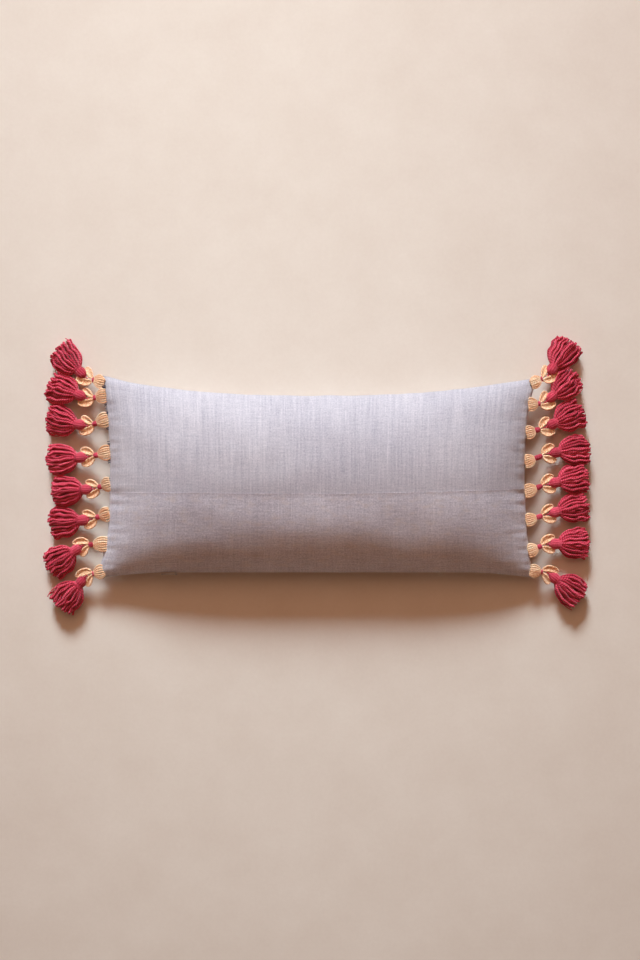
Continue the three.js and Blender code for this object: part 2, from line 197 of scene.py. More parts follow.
WAIST_RADIUS = 2.7 * MM
WAIST_BACK = 11 * MM
WAIST_WRAP = {"left": 8.5 * MM, "right": 12 * MM}
LONG_WAIST_WRAP = 17 * MM
LONG_WRAPPED = ("right", 4)
WRAP_TO_SEAM = 12 * MM
WRAP_OVER = np.array([0.6, 1.1, 1.3, 1.1, 0.6]) * MM
PETAL_START = 2.2 * MM
PETAL_AT_HEAD = 12.2 * MM
PETAL_HALF_WIDTH = 5.5 * MM
PETAL_PAST_EYE = 15 * MM
PETAL_ARCH = 2.2 * MM
PETAL_HOLLOW = 1.3 * MM
PETAL_NESTS = ((1.0, 1.0, 1.05), (0.74, 0.56, 1.05), (0.42, 0.14, 1.3))
STITCHES = 7
STITCH_SHARE = 0.9
RESTITCHED_SHARE = 1.7
RESTITCHED = (("left", 2), ("left", 3), ("left", 4))
GOLDEN_ANGLE = math.pi * (3 - math.sqrt(5))
UPWARDS = [0, 0, 1]
SEED = 7

# ---- floor, light and camera ----
FLOOR_SIZE = 14
KEY_PLACE = (-1.0, 6.4, 3.3)
KEY_AIM = (-0.2, 0.9, 0)
KEY_SIZE = 2.8
KEY_SPREAD = 28
KEY_POWER = 37.5
KEY_COLOR = (0.74, 0.89, 1.0)
ROOM_STRENGTH = 0.18
ROOM_COLOR = (1.0, 0.56, 0.36, 1.0)
OVERHEAD_PLACE = (-0.3, 1.6, 3.0)
OVERHEAD_SIZE = 3.0
OVERHEAD_POWER = 27
OVERHEAD_COLOR = (1.0, 0.56, 0.36)
OVERHEAD_SPREAD = 180
CAMERA_PLACE = (0.0044, -0.0044, 3.236)
LENS = 68
SENSOR_HEIGHT = 36
FARTHEST = 50


# ---- selecting and modelling ----
def deselect_all():
    if bpy.context.object and bpy.context.object.mode != "OBJECT":
        bpy.ops.object.mode_set(mode="OBJECT")
    bpy.ops.object.select_all(action="DESELECT")


def activate(obj):
    deselect_all()
    obj.select_set(True)
    bpy.context.view_layer.objects.active = obj
    return obj


def read(parts, name, width=1, kind=np.int32):
    """The named value of each of a mesh's points, edges, corners or faces."""
    flat = np.zeros(len(parts) * width, kind)
    parts.foreach_get(name, flat)
    return flat.reshape(-1, width) if width > 1 else flat


def add_to_scene(obj):
    bpy.context.scene.collection.objects.link(obj)
    return obj


def places(obj):
    return read(obj.data.vertices, "co", 3, np.float32).astype(float)


def set_places(obj, points):
    obj.data.vertices.foreach_set("co", np.asarray(points, np.float32).ravel())
    obj.data.update()


def normals(obj):
    return read(obj.data.vertices, "normal", 3, np.float32).astype(float)


def modify(obj, kind, **settings):
    """Adds a modifier and applies it."""
    activate(obj)
    modifier = obj.modifiers.new(kind.title(), kind)
    for key, value in settings.items():
        setattr(modifier, key, value)
    bpy.ops.object.modifier_apply(modifier=modifier.name)


def edit(obj, operator, chosen=None, kind="FACE", **settings):
    """Runs a mesh operator on all of obj, or on those of its edges or faces that are chosen."""
    activate(obj)
    bpy.ops.object.mode_set(mode="EDIT")
    bpy.ops.mesh.select_mode(type=kind)
    bpy.ops.mesh.select_all(action="SELECT" if chosen is None else "DESELECT")
    if chosen is not None:
        bpy.ops.object.mode_set(mode="OBJECT")
        parts = obj.data.edges if kind == "EDGE" else obj.data.polygons
        parts.foreach_set("select", chosen)
        bpy.ops.object.mode_set(mode="EDIT")
    operator(**settings)
    bpy.ops.object.mode_set(mode="OBJECT")


def merge_points(obj):
    edit(obj, bpy.ops.mesh.remove_doubles, threshold=1e-6)


def copy_piece(obj, name):
    """A copy with its own mesh."""
    copy = obj.copy()
    copy.data = obj.data.copy()
    copy.name = name
    return add_to_scene(copy)


def edge_ends(obj):
    return read(obj.data.edges, "vertices", 2)


def draw_out(obj, wanted, moves):
    """Extrudes the wanted points' open edges by moves(normals), and says which points are new."""
    ends = edge_ends(obj)
    faces_beside = np.bincount(read(obj.data.loops, "edge_index"), minlength=len(ends))
    edges = (faces_beside == 1) & wanted[ends].all(axis=1)
    old, outward = places(obj), normals(obj)
    chosen = np.unique(ends[edges])
    steps = moves(outward[chosen])
    step_from = {tuple(old[index]): step for index, step in zip(chosen, steps)}
    edit(obj, bpy.ops.mesh.extrude_edges_move, edges, "EDGE")
    now = places(obj)
    fresh = np.arange(len(old), len(now))
    for index in fresh:
        now[index] += step_from[tuple(now[index])]
    set_places(obj, now)
    is_new = np.zeros(len(now), bool)
    is_new[fresh] = True
    return is_new


def finish_piece(obj, material, body=None, replaces=(), crisp=False):
    """Smooth shading, material, the body it rides on and the CAD nodes it stands for."""
    activate(obj)
    if crisp:
        bpy.ops.object.shade_smooth_by_angle(angle=FOLD_ANGLE)
    else:
        bpy.ops.object.shade_smooth()
    obj.data.materials.clear()
    obj.data.materials.append(material)
    if body:
        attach(obj, body)
    if replaces:
        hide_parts(*replaces)
    return obj


# ---- shader helpers ----
class Shader:
    """A node tree with short ways to add and link nodes."""

    def __init__(self, tree):
        self.tree = tree

    def node(self, kind, given=None, **settings):
        made = self.tree.nodes.new("ShaderNode" + kind)
        for key, value in settings.items():
            setattr(made, key, value)
        for label, value in (given or {}).items():
            self.feed(made.inputs[label], value)
        return made

    def link(self, source, target):
        self.tree.links.new(source, target)

    def math(self, operation, a, b=None):
        return self.node("Math", {0: a, 1: b}, operation=operation).outputs[0]

    def feed(self, socket, value):
        if value is None:
            return
        if isinstance(value, bpy.types.NodeSocket):
            self.link(value, socket)
        else:
            socket.default_value = value

    def times(self, a, b):
        return self.math("MULTIPLY", a, b)

    def plus(self, a, b):
        return self.math("ADD", a, b)

    def contrast(self, value, share):
        """That share of how far the value is from a half."""
        return self.times(self.math("SUBTRACT", value, 0.5), share)

    def place(self):
        return self.node("TexCoord").outputs["Object"]

    def stretch(self, vector, scale):
        return self.node("VectorMath", {0: vector, 1: scale}, operation="MULTIPLY").outputs[0]

    def noise(self, vector, scale, detail=2.0, roughness=0.5):
        """A noise; its scale is a number, or three for a noise that is stretched."""
        if isinstance(scale, tuple):
            vector, scale = self.stretch(vector, scale), 1.0
        given = {"Vector": vector, "Scale": scale, "Detail": detail, "Roughness": roughness}
        return self.node("TexNoise", given).outputs["Fac"]

    def bands(self, vector, way):
        given = {"Vector": vector, "Scale": 1.0}
        return self.node("TexWave", given, wave_type="BANDS", bands_direction=way).outputs["Fac"]

    def spread(self, value, low, high, to_low=0.0, to_high=1.0):
        given = {"Value": value, "From Min": low, "From Max": high, "To Min": to_low, "To Max": to_high}
        return self.node("MapRange", given).outputs["Result"]

    def mix(self, share, first, second):
        given = {"Factor": share, "A": first, "B": second}
        return self.node("Mix", given, data_type="RGBA").outputs["Result"]


def rgb(red, green, blue):
    """A display colour, 0 to 255, as the linear colour that a socket takes."""
    def linear(value):
        value /= 255
        return value / 12.92 if value <= 0.04045 else ((value + 0.055) / 1.055) ** 2.4
    return (linear(red), linear(green), linear(blue), 1.0)


def new_group(name, inputs, outputs):
    tree = bpy.data.node_groups.new(name, "ShaderNodeTree")
    for label, kind, value in inputs:
        socket = tree.interface.new_socket(label, in_out="INPUT", socket_type="NodeSocket" + kind)
        if value is not None:
            socket.default_value = value
    for label, kind in outputs:
        tree.interface.new_socket(label, in_out="OUTPUT", socket_type="NodeSocket" + kind)
    given, gives = tree.nodes.new("NodeGroupInput").outputs, tree.nodes.new("NodeGroupOutput").inputs
    return Shader(tree), given, gives


def handwoven_group():
    """Handwoven slub cotton on flat cloth coordinates in metres: pale and dark yarns, slubs and flecks."""
    shader, given, gives = new_group(
        "handwoven cotton",
        [
            ("Cloth", "Vector", None), ("Pale", "Color", None), ("Deep", "Color", None),
            ("Fleck", "Color", None), ("Slubs", "Float", 1.0), ("Streaks", "Float", 1.0),
            ("Crossing", "Float", 1.0), ("Speckle", "Float", 1.0), ("Flecks", "Float", 0.3),
        ],
        [("Color", "Color"), ("Height", "Float")],
    )
    cloth = given["Cloth"]
    slubs = shader.noise(cloth, (330, 13, 1), 3.0, 0.62)
    long_slubs = shader.noise(cloth, (150, 4, 1), 2.0, 0.5)
    crossing = shader.noise(cloth, (34, 300, 1), 3.0, 0.62)
    speckle = shader.noise(cloth, (330, 300, 1), 3.0, 0.75)
    broad = shader.noise(cloth, (7, 5, 1), 2.0, 0.5)
    lengthwise = shader.contrast(slubs, given["Slubs"])
    streaks = shader.contrast(long_slubs, given["Streaks"])
    crosswise = shader.contrast(crossing, given["Crossing"])
    threads = shader.plus(shader.plus(lengthwise, streaks), crosswise)
    fine = shader.contrast(speckle, given["Speckle"])
    patchy = shader.contrast(broad, 0.5)
    tone = shader.plus(shader.plus(threads, fine), patchy)
    thick = shader.spread(shader.noise(cloth, (260, 11, 1), 1.0, 0.4), 0.68, 0.8)
    thick = shader.times(thick, shader.times(given["Slubs"], 0.4))
    tone = shader.plus(tone, thick)
    share = shader.spread(tone, -0.42, 0.42)
    woven = shader.mix(share, given["Deep"], given["Pale"])
    fleck_noise = shader.noise(cloth, (45, 90, 1), 2.0, 0.6)
    fleck_share = shader.times(shader.spread(fleck_noise, 0.5, 0.72), given["Flecks"])
    shader.link(shader.mix(fleck_share, woven, given["Fleck"]), gives["Color"])
    weft, warp = (shader.bands(shader.stretch(cloth, (350, 350, 1)), way) for way in "XY")
    basket = shader.times(weft, warp)
    ribs = shader.times(shader.plus(lengthwise, crosswise), 1.6)
    shader.link(shader.plus(basket, ribs), gives["Height"])
    return shader.tree


def twisted_yarn_group():
    """Plied yarn on a yarn's own coordinates, along and around: ply stripes, shade from yarn to yarn, fuzz.
    In the colour the ply stripes are painted shade in the ply grooves and painted highlight on the ply
    ridges; Pale and Deep are the painted highlight and painted shade colours.
    """
    shader, given, gives = new_group(
        "twisted yarn",
        [
            ("Along", "Vector", None), ("Fibre", "Vector", None), ("Which", "Float", 0.5),
            ("Turns", "Float", 8.0), ("Pale", "Color", None), ("Middle", "Color", None),
            ("Deep", "Color", None),
        ],
        [("Color", "Color"), ("Height", "Float")],
    )
    split = shader.node("SeparateXYZ")
    shader.link(given["Along"], split.inputs[0])
    turned = shader.plus(shader.times(split.outputs[0], given["Turns"]), split.outputs[1])
    # Ply stripes: in the colour they are painted shade in the ply grooves and painted highlight on the ply
    # ridges; in the height they are real relief.
    wave = shader.math("SINE", shader.times(turned, 4 * math.pi))
    ply_shade_and_relief = shader.spread(wave, -1, 1)
    fuzz = shader.noise(given["Fibre"], 900.0, 3.0, 0.6)
    patch = shader.noise(given["Fibre"], 120.0, 2.0, 0.5)
    tone = shader.plus(shader.times(ply_shade_and_relief, 0.55), shader.times(fuzz, 0.4))
    tone = shader.plus(tone, shader.times(patch, 0.3))
    tone = shader.plus(tone, shader.times(given["Which"], 0.4))
    # Deep is a painted shade colour and Pale a painted highlight colour; Middle is the yarn's own colour,
    # and fuzz, patches and yarn-to-yarn tone are its own variation.
    low = shader.mix(shader.spread(tone, 0.35, 0.8), given["Deep"], given["Middle"])
    shader.link(shader.mix(shader.spread(tone, 0.85, 1.3), low, given["Pale"]), gives["Color"])
    shader.link(shader.plus(ply_shade_and_relief, shader.times(fuzz, 0.6)), gives["Height"])
    return shader.tree


def new_material(name, roughness, sheen=0.0, metallic=0.0):
    material = bpy.data.materials.new(name)
    material.use_nodes = True
    shader = Shader(material.node_tree)
    surface = material.node_tree.nodes["Principled BSDF"]
    fixed = {"Roughness": roughness, "Sheen Weight": sheen, "Sheen Roughness": 0.5, "Metallic": metallic}
    for label, value in fixed.items():
        surface.inputs[label].default_value = value
    return material, shader, surface


def group_node(shader, tree, **values):
    return shader.node("Group", values, node_tree=tree).outputs


def dress(shader, surface, color, height, distance, strength=0.5):
    """Joins colour and relief to the surface."""
    bump = shader.node("Bump", {"Strength": strength, "Distance": distance, "Height": height})
    shader.link(bump.outputs["Normal"], surface.inputs["Normal"])
    shader.link(color, surface.inputs["Base Color"])


def cotton(name, **yarns):
    material, shader, surface = new_material(name, 0.92, sheen=0.25)
    cloth = shader.node("UVMap", uv_map="Cloth").outputs["UV"]
    made = group_node(shader, HANDWOVEN, Cloth=cloth, **yarns)
    dress(shader, surface, made["Color"], made["Height"], 0.35 * MM)
    return material


# pale is a painted highlight colour and deep a painted shade colour; middle is the yarn's own colour.
def yarn(name, pale, middle, deep, turns, sheen=0.3):
    material, shader, surface = new_material(name, 0.88, sheen=sheen)
    along = shader.node("UVMap", uv_map="UVMap").outputs["UV"]
    fibre = shader.place()
    which = shader.node("NewGeometry").outputs["Random Per Island"]
    made = group_node(
        shader, TWISTED, Along=along, Fibre=fibre, Which=which, Turns=turns,
        Pale=pale, Middle=middle, Deep=deep,
    )
    dress(shader, surface, made["Color"], made["Height"], 0.5 * MM)
    return material


def plain_fabric(name, pale, deep, scale, distance):
    """Plain cloth or loose fibre, with its pattern fixed to the object."""
    material, shader, surface = new_material(name, 0.95, sheen=0.2)
    place = shader.place()
    fine = shader.noise(place, scale, 4.0, 0.65)
    color = shader.mix(shader.spread(fine, 0.3, 0.7), deep, pale)
    dress(shader, surface, color, fine, distance)
    return material


def zip_plate(name, base, worn):
    material, shader, surface = new_material(name, 0.32, metallic=1.0)
    place = shader.place()
    brushed = shader.noise(place, (400, 5000, 5000), 3.0, 0.6)
    rubbed = shader.noise(place, 600.0, 3.0, 0.6)
    dress(shader, surface, shader.mix(shader.spread(rubbed, 0.45, 0.65), base, worn), brushed, 0.02 * MM)
    shader.link(shader.spread(rubbed, 0.3, 0.7, 0.25, 0.45), surface.inputs["Roughness"])
    return material


def nylon(name, pale, deep):
    material, shader, surface = new_material(name, 0.42)
    place = shader.place()
    cloudy = shader.noise(place, 350.0, 2.0, 0.5)
    dress(shader, surface, shader.mix(cloudy, deep, pale), cloudy, 0.02 * MM)
    return material


FLOOR_PALE, FLOOR_DEEP = rgb(236, 224, 210), rgb(228, 214, 199)
HANDWOVEN = handwoven_group()
TWISTED = twisted_yarn_group()
UPPER_COTTON = cotton(
    "upper slub cotton", Pale=rgb(211, 203, 206), Deep=rgb(156, 150, 161), Fleck=rgb(203, 194, 202),
    Slubs=0.8, Streaks=0.45, Crossing=0.5, Speckle=1.3, Flecks=0.15,
)
LOWER_COTTON = cotton(
    "lower slub cotton", Pale=rgb(228, 222, 228), Deep=rgb(166, 159, 171), Fleck=rgb(212, 194, 182),
    Slubs=0.5, Streaks=0.2, Crossing=0.8, Speckle=1.6, Flecks=0.3,
)
BACK_COTTON = cotton(
    "back cotton", Pale=rgb(208, 201, 204), Deep=rgb(154, 147, 155), Fleck=rgb(203, 192, 192),
    Slubs=0.6, Streaks=0.3, Crossing=0.7, Speckle=1.3, Flecks=0.2,
)
SEWING_THREAD = plain_fabric("dark sewing thread", rgb(70, 66, 92), rgb(38, 34, 52), 1500.0, 0.1 * MM)
CALICO = plain_fabric("casing calico", rgb(236, 231, 219), rgb(214, 206, 190), 900.0, 0.3 * MM)
FIBRE_FILL = plain_fabric("polyester fibre", rgb(250, 250, 248), rgb(226, 226, 224), 160.0, 2.0 * MM)
ZIP_TAPE = plain_fabric("woven zip tape", rgb(150, 144, 158), rgb(118, 112, 128), 2600.0, 0.2 * MM)
ZIP_COIL = nylon("zip coil nylon", rgb(156, 150, 162), rgb(120, 114, 128))
ZIP_METAL = zip_plate("plated zip metal", rgb(172, 172, 176), rgb(206, 206, 208))
# Red yarn colours: pale is a painted highlight, deep is painted shade, middle is the yarn's own crimson.
RED = {"pale": rgb(242, 96, 120), "middle": rgb(196, 22, 58), "deep": rgb(112, 2, 24)}
RED_SKIRT = yarn("red skirt yarn", turns=7.0, **RED)
RED_WRAP = yarn("red wound yarn", turns=70.0, **RED)
# Peach yarn colours: pale is a painted highlight, deep is painted shade, middle is the yarn's own peach.
PEACH = yarn("peach yarn", rgb(255, 236, 206), rgb(255, 210, 164), rgb(230, 144, 94), 5.0)


# ---- the drops' places ----
class Drop:
    """Where one drop lies: its root on the seam, the eye its tassel hangs in, and the tassel's line."""

    def __init__(self, side, number):
        self.side, self.number = side, number
        loop = JOINTS[self.named("loop_swing")]
        hang = JOINTS[self.named("tassel_swing")]
        self.root = np.array(loop["pos_m"])
        self.eye = np.array(hang["pos_m"])
        self.out = np.array([-loop["axis"][1], loop["axis"][0], 0])
        self.reach = np.linalg.norm(self.eye - self.root)
        self.loop_line = (self.eye - self.root) / self.reach
        self.loop_across = np.array([-self.loop_line[1], self.loop_line[0], 0])
        self.loop_across /= np.linalg.norm(self.loop_across)
        level = np.array([-hang["axis"][1], hang["axis"][0], 0])
        self.across = np.array([-level[1], level[0], 0])
        solid = places(frame["nodes"][self.named("tassel")]) - self.eye
        far = solid[solid @ level > 0.93 * (solid @ level).max()]
        sink = (far[:, 2].max() + far[:, 2].min()) / 2
        self.line = level * (solid @ level).max() + np.array([0, 0, sink])
        self.line /= np.linalg.norm(self.line)
        self.up = np.cross(self.line, self.across)
        self.up *= np.sign(self.up[2])
        self.waist = self.root + self.loop_line * (self.reach - WAIST_BACK)
        self.wrap = LONG_WAIST_WRAP if (side, number) == LONG_WRAPPED else WAIST_WRAP[side]
        self.wrap = min(self.wrap, self.reach - WAIST_BACK - WRAP_TO_SEAM)

    def named(self, what):
        return f"{self.side}_{what}_{self.number}"

    def skirt_middle(self):
        return self.eye + self.line * SKIRT_MIDDLE

    def room(self):
        """Half the width that the skirt may spread to before it lies on the ones beside it."""
        others = [drop for drop in DROPS if drop is not self]
        nearest = min(np.linalg.norm(drop.skirt_middle() - self.skirt_middle()) for drop in others)
        return min(SKIRT_HALF_WIDTH, nearest / 2 + SKIRT_TOUCH)


DROPS = [Drop(side, number) for side in SIDES for number in range(1, DROPS_PER_END + 1)]


# ---- the cover's form ----
HALF_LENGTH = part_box("back_panel")[1].x
HALF_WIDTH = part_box("back_panel")[1].y
SEAM_HEIGHT = JOINTS["zip_pull_swing"]["pos_m"][2]
FRONT_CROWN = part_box("front_upper_panel")[1].z - SEAM_HEIGHT
ZIP_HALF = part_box("zip_front_tape")[1].x
ZIP_SHARE = (ZIP_HALF + ZIP_TO_CORNER_BOW) / HALF_LENGTH
JOIN_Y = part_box("front_lower_panel")[1].y
ZIP_EDGE = HALF_WIDTH - ZIP_SIDE_BOW
UPPER, LOWER, BACK = 0, 1, 2


def past_zip(s):
    return np.clip((np.abs(s) - ZIP_SHARE) / (1 - ZIP_SHARE), 0, 1)


def seam_height(x, y):
    return SEAM_HEIGHT - CORNER_DROOP * past_zip(x / HALF_LENGTH) ** DROOP_POWER * (y / HALF_WIDTH) ** 2


def cover_form(s, t, face):
    """Points of the filled cover; s and t run from -1 to 1 along and across, face is 1 front, -1 back."""
    far_edge = HALF_WIDTH - FAR_BOW * (1 - np.abs(s) ** FAR_BOW_POWER)
    zip_edge = HALF_WIDTH - ZIP_SIDE_BOW * (1 - past_zip(s) ** ZIP_BOW_POWER)
    x = s * (HALF_LENGTH - END_BOW * (1 - t * t))
    y = t * np.where(t > 0, far_edge, zip_edge)
    loft = np.clip(1 - s**FILL_POWER, 0, 1) ** END_ROUNDING * np.clip(1 - t * t, 0, 1) ** SIDE_ROUNDING
    crown = FRONT_CROWN if face > 0 else BACK_CROWN
    return np.stack([x, y, seam_height(x, y) + face * crown * START_FULLNESS * loft], axis=-1)


def crowded(a):
    """Spaces grid lines from -1 to 1 closer together towards the seams."""
    return (1 - EDGE_CROWDING) * a + EDGE_CROWDING * np.sin(a * math.pi / 2)


def run_along(points):
    """Share of a line's length at each of its points, from -1 to 1."""
    steps = np.linalg.norm(np.diff(points, axis=0), axis=1)
    run = np.concatenate([[0], np.cumsum(steps)])
    return 2 * run / run[-1] - 1


GRID_LINES = crowded(np.linspace(-1, 1, ROWS + 1))
JOIN_LINE = GRID_LINES[np.argmin(np.abs(GRID_LINES - JOIN_Y / ZIP_EDGE))]


def onto_join(s, t):
    """Moves the grid line nearest to the front join onto it; the join rises a little towards both ends."""
    join = (JOIN_Y + np.where(s < 0, JOIN_RISE_LEFT, JOIN_RISE_RIGHT) * s * s) / ZIP_EDGE
    below = -1 + (t + 1) * (join + 1) / (JOIN_LINE + 1)
    above = 1 - (1 - t) * (1 - join) / (1 - JOIN_LINE)
    return np.where(t <= JOIN_LINE + 1e-6, below, above)


def point_values(obj, name):
    return read(obj.data.attributes[name].data, "vector", 3, np.float32).astype(float)


def note_points(obj, name, x, y, z):
    noted = obj.data.attributes.new(name, "FLOAT_VECTOR", "POINT")
    noted.data.foreach_set("vector", np.stack([x, y, z], -1).astype(np.float32).ravel())


def cover_face(name, face):
    """One face of the cover as a grid that knows its place on the cover, its flat cut and its weave."""
    deselect_all()
    bpy.ops.mesh.primitive_grid_add(x_subdivisions=COLUMNS, y_subdivisions=ROWS, size=2)
    grid = bpy.context.object
    grid.name = name
    flat = places(grid)
    s, row = crowded(flat[:, 0]), crowded(flat[:, 1])
    t = onto_join(s, row)
    lines = np.linspace(-1, 1, 401)
    level = np.zeros_like(lines)
    u = np.interp(s, lines, run_along(cover_form(lines, level, 1))) * CUT_LENGTH / 2
    v = np.interp(t, lines, run_along(cover_form(level, lines, 1))) * CUT_WIDTH / 2
    set_places(grid, cover_form(s, t, face))
    note_points(grid, "share", s, t, (row - JOIN_LINE) * ZIP_EDGE)
    note_points(grid, "cut", u, v, 0 * u)
    layer = grid.data.uv_layers[0]
    layer.name = "Cloth"
    corners = read(grid.data.loops, "vertex_index")
    shift = 0 if face > 0 else BACK_CLOTH_SHIFT
    layer.data.foreach_set("uv", np.stack([u[corners] + shift, v[corners]], -1).astype(np.float32).ravel())
    middle = row[corners.reshape(-1, 4)].mean(axis=1)
    which = np.where(middle < JOIN_LINE, LOWER, UPPER) if face > 0 else np.full(len(middle), BACK)
    cloth = grid.data.attributes.new("cloth", "INT", "FACE")
    cloth.data.foreach_set("value", which.astype(np.int32))
    if face < 0:
        edit(grid, bpy.ops.mesh.flip_normals)
    return grid


def closed_cover():
    """Front and back sewn together along the seam."""
    front = cover_face("cover", 1)
    back = cover_face("cover_back_face", -1)
    activate(front)
    back.select_set(True)
    bpy.ops.object.join()
    merge_points(front)
    points, ends = on_seam(front), edge_ends(front)
    crease = front.data.attributes.new("crease_edge", "FLOAT", "EDGE")
    crease.data.foreach_set("value", (points[ends[:, 0]] & points[ends[:, 1]]).astype(np.float32))
    share = point_values(front, "share")
    corner = front.data.attributes.new("crease_vert", "FLOAT", "POINT")
    corner.data.foreach_set("value", (np.abs(share[:, :2]).min(axis=1) > 1 - 1e-5).astype(np.float32))
    return front


def on_seam(obj):
    share = point_values(obj, "share")
    return np.maximum(np.abs(share[:, 0]), np.abs(share[:, 1])) > 1 - 1e-5


def ripple(values, seed):
    """Smooth wandering between -1 and 1 for each of the values."""
    return np.array([noise.noise(Vector((value, seed, 0.37))) for value in values])


def ruffle_seam(cover):
    """Stretches the corners, lets the seam wander, and pulls it out where each drop is sewn in."""
    points = places(cover)
    for side, edge, outward, along in CORNERS:
        corner = np.array([side * HALF_LENGTH, edge * HALF_WIDTH])
        near = np.exp(-(np.linalg.norm(points[:, :2] - corner, axis=1) / CORNER_REACH) ** 2)
        points[:, 0] += side * outward * near
        points[:, 1] += edge * along * near
    seam = np.nonzero(on_seam(cover))[0]
    along = points[seam, 0] + points[seam, 1] * 1.7
    share = point_values(cover, "share")[seam]
    ends = np.abs(share[:, 0]) > 1 - 1e-5
    points[seam, 2] += SEAM_WANDER * ripple(along / WANDER_UP_RUN, 2.0)
    points[seam, 0] += np.where(ends, SEAM_WANDER * ripple(along / WANDER_OUT_RUN, 5.0), 0)
    far = ~ends & (share[:, 1] > 0)
    points[seam, 1] += np.where(far, SEAM_WANDER * ripple(along / WANDER_ACROSS_RUN, 7.0), 0)
    for drop in DROPS:
        pull = ROOT_PULL * np.exp(-((points[seam, 1] - drop.root[1]) / ROOT_PULL_SPREAD) ** 2)
        near = ends & (points[seam, 0] * SIDES[drop.side] > 0)
        points[seam] += np.where(near, pull, 0)[:, None] * drop.out
    set_places(cover, points)


def fill_cover(cover):
    """Blows up the closed cover. Every thread wants the length that it has in the flat cut."""
    start = places(cover)
    cover.shape_key_add(name="filled")
    cut = cover.shape_key_add(name="cut")
    cut.data.foreach_set("co", point_values(cover, "cut").astype(np.float32).ravel())
    cut.value = 0
    seam = cover.vertex_groups.new(name="seam")
    seam.add([int(index) for index in np.nonzero(on_seam(cover))[0]], 1.0, "REPLACE")
    cloth = cover.modifiers.new("Cloth", "CLOTH")
    cloth.settings.rest_shape_key = cut
    for key, value in CLOTH_SETTINGS.items():
        setattr(cloth.settings, key, value)
    cloth.settings.effector_weights.gravity = 0
    cloth.collision_settings.use_collision = False
    cloth.point_cache.frame_start = 1
    cloth.point_cache.frame_end = FRAMES
    for number in range(1, FRAMES + 1):
        bpy.context.scene.frame_set(number)
    end = places(cover.evaluated_get(bpy.context.evaluated_depsgraph_get()))
    cover.modifiers.remove(cloth)
    bpy.context.scene.frame_set(1)
    activate(cover)
    bpy.ops.object.shape_key_remove(all=True)
    move = end - start
    length = np.maximum(np.linalg.norm(move, axis=1, keepdims=True), 1e-9)
    set_places(cover, start + move * np.minimum(1, MOST_SWELL / length))


def settle_cover(cover):
    """Keeps the crown at its height and rests the underside flat on the floor."""
    points = places(cover)
    above = points[:, 2] - SEAM_HEIGHT
    above = np.where(above > 0, above * FRONT_CROWN / above.max(), above * BACK_CROWN / -above.min())
    height = above + SEAM_HEIGHT
    softened = FLOOR_SOFTNESS * np.logaddexp(0, height / FLOOR_SOFTNESS)
    pressed = FLOOR_SOFTNESS * 0.6 * np.exp(-height / (4 * FLOOR_SOFTNESS))
    resting = np.maximum(softened - pressed, FLOOR_CONTACT)
    points[:, 2] = np.where(height > 6 * FLOOR_SOFTNESS, height, resting)
    set_places(cover, points)


def pucker(cover):
    """Small gathers that run in from the seam, and the soft lumps of the filling."""
    points, outward, share = places(cover), normals(cover), point_values(cover, "share")
    from_end = (1 - np.abs(share[:, 0])) * HALF_LENGTH
    from_side = (1 - np.abs(share[:, 1])) * HALF_WIDTH
    amount = np.zeros(len(points))
    for index, (x, y, _z) in enumerate(points):
        layer = 3.0 if outward[index, 2] > 0 else 9.0
        at_end = noise.noise(Vector((y / GATHER, layer, from_end[index] / GATHER_RUN)))
        at_side = noise.noise(Vector((x / GATHER, layer + 20, from_side[index] / GATHER_RUN)))
        lumps = noise.noise(Vector((x / LUMP_RUN[0], y / LUMP_RUN[1], layer)))
        crinkle = noise.noise(Vector((x / CRINKLE_RUN[0], y / CRINKLE_RUN[1], layer + 4)))
        amount[index] = (
            GATHER_DEPTH * at_end * math.exp(-from_end[index] / GATHER_FADE)
            + GATHER_DEPTH * SIDE_GATHER_SHARE * at_side * math.exp(-from_side[index] / SIDE_GATHER_FADE)
            + LUMP_DEPTH * lumps + CRINKLE_DEPTH * crinkle
        )
    fade = np.clip(np.minimum(from_end, from_side) / SEAM_FADE, 0, 1)
    fade *= np.clip(points[:, 2] / FLOOR_FADE, 0, 1)
    set_places(cover, points + outward * (amount * fade)[:, None])


def take_cloth(cover, which, name):
    """Separates the faces of one or more of the cloths from the rest, as a piece of their own."""
    cloth = read(cover.data.attributes["cloth"].data, "value")
    edit(cover, bpy.ops.mesh.separate, np.isin(cloth, which), type="SELECTED")
    piece = next(part for part in bpy.context.selected_objects if part is not cover)
    piece.name = name
    piece.data.name = name
    return piece


def open_slit(cloth, rise):
    """Parts the cloth from its neighbour along the zip, and turns the spare cloth inside."""
    points, share = places(cloth), point_values(cloth, "share")
    inside = np.clip((ZIP_HALF - np.abs(points[:, 0])) / SLIT_BLEND, 0, 1)
    near = np.clip(1 - (share[:, 1] + 1) * HALF_WIDTH / SLIT_BLEND, 0, 1)
    points[:, 2] += rise * inside * near
    set_places(cloth, points)
    edge = (share[:, 1] < -1 + 1e-5) & (np.abs(points[:, 0]) < ZIP_HALF)
    for step in ((0, SLIT_LIP, -rise * 0.35), (0, TURNED_UNDER, rise * 0.5)):
        edge = draw_out(cloth, edge, lambda outward: np.zeros_like(outward) + step)


def lap_join(upper, lower):
    """The lower cloth lies over the upper one with its edge folded under; the upper one runs on beneath."""
    share = point_values(lower, "share")
    rise = LAP_RISE * np.exp(-((share[:, 2] / (0.5 * LAP)) ** 2))
    set_places(lower, places(lower) + normals(lower) * rise[:, None])
    edge = np.abs(share[:, 2]) < 1e-5
    for slip, sink in LOWER_FOLDS:
        edge = draw_out(lower, edge, lambda outward: slip * downhill(outward) - outward * sink)
    edge = np.abs(point_values(upper, "share")[:, 2]) < 1e-5
    for slip, sink in UPPER_FOLDS:
        edge = draw_out(upper, edge, lambda outward: slip * downhill(outward) - outward * sink)


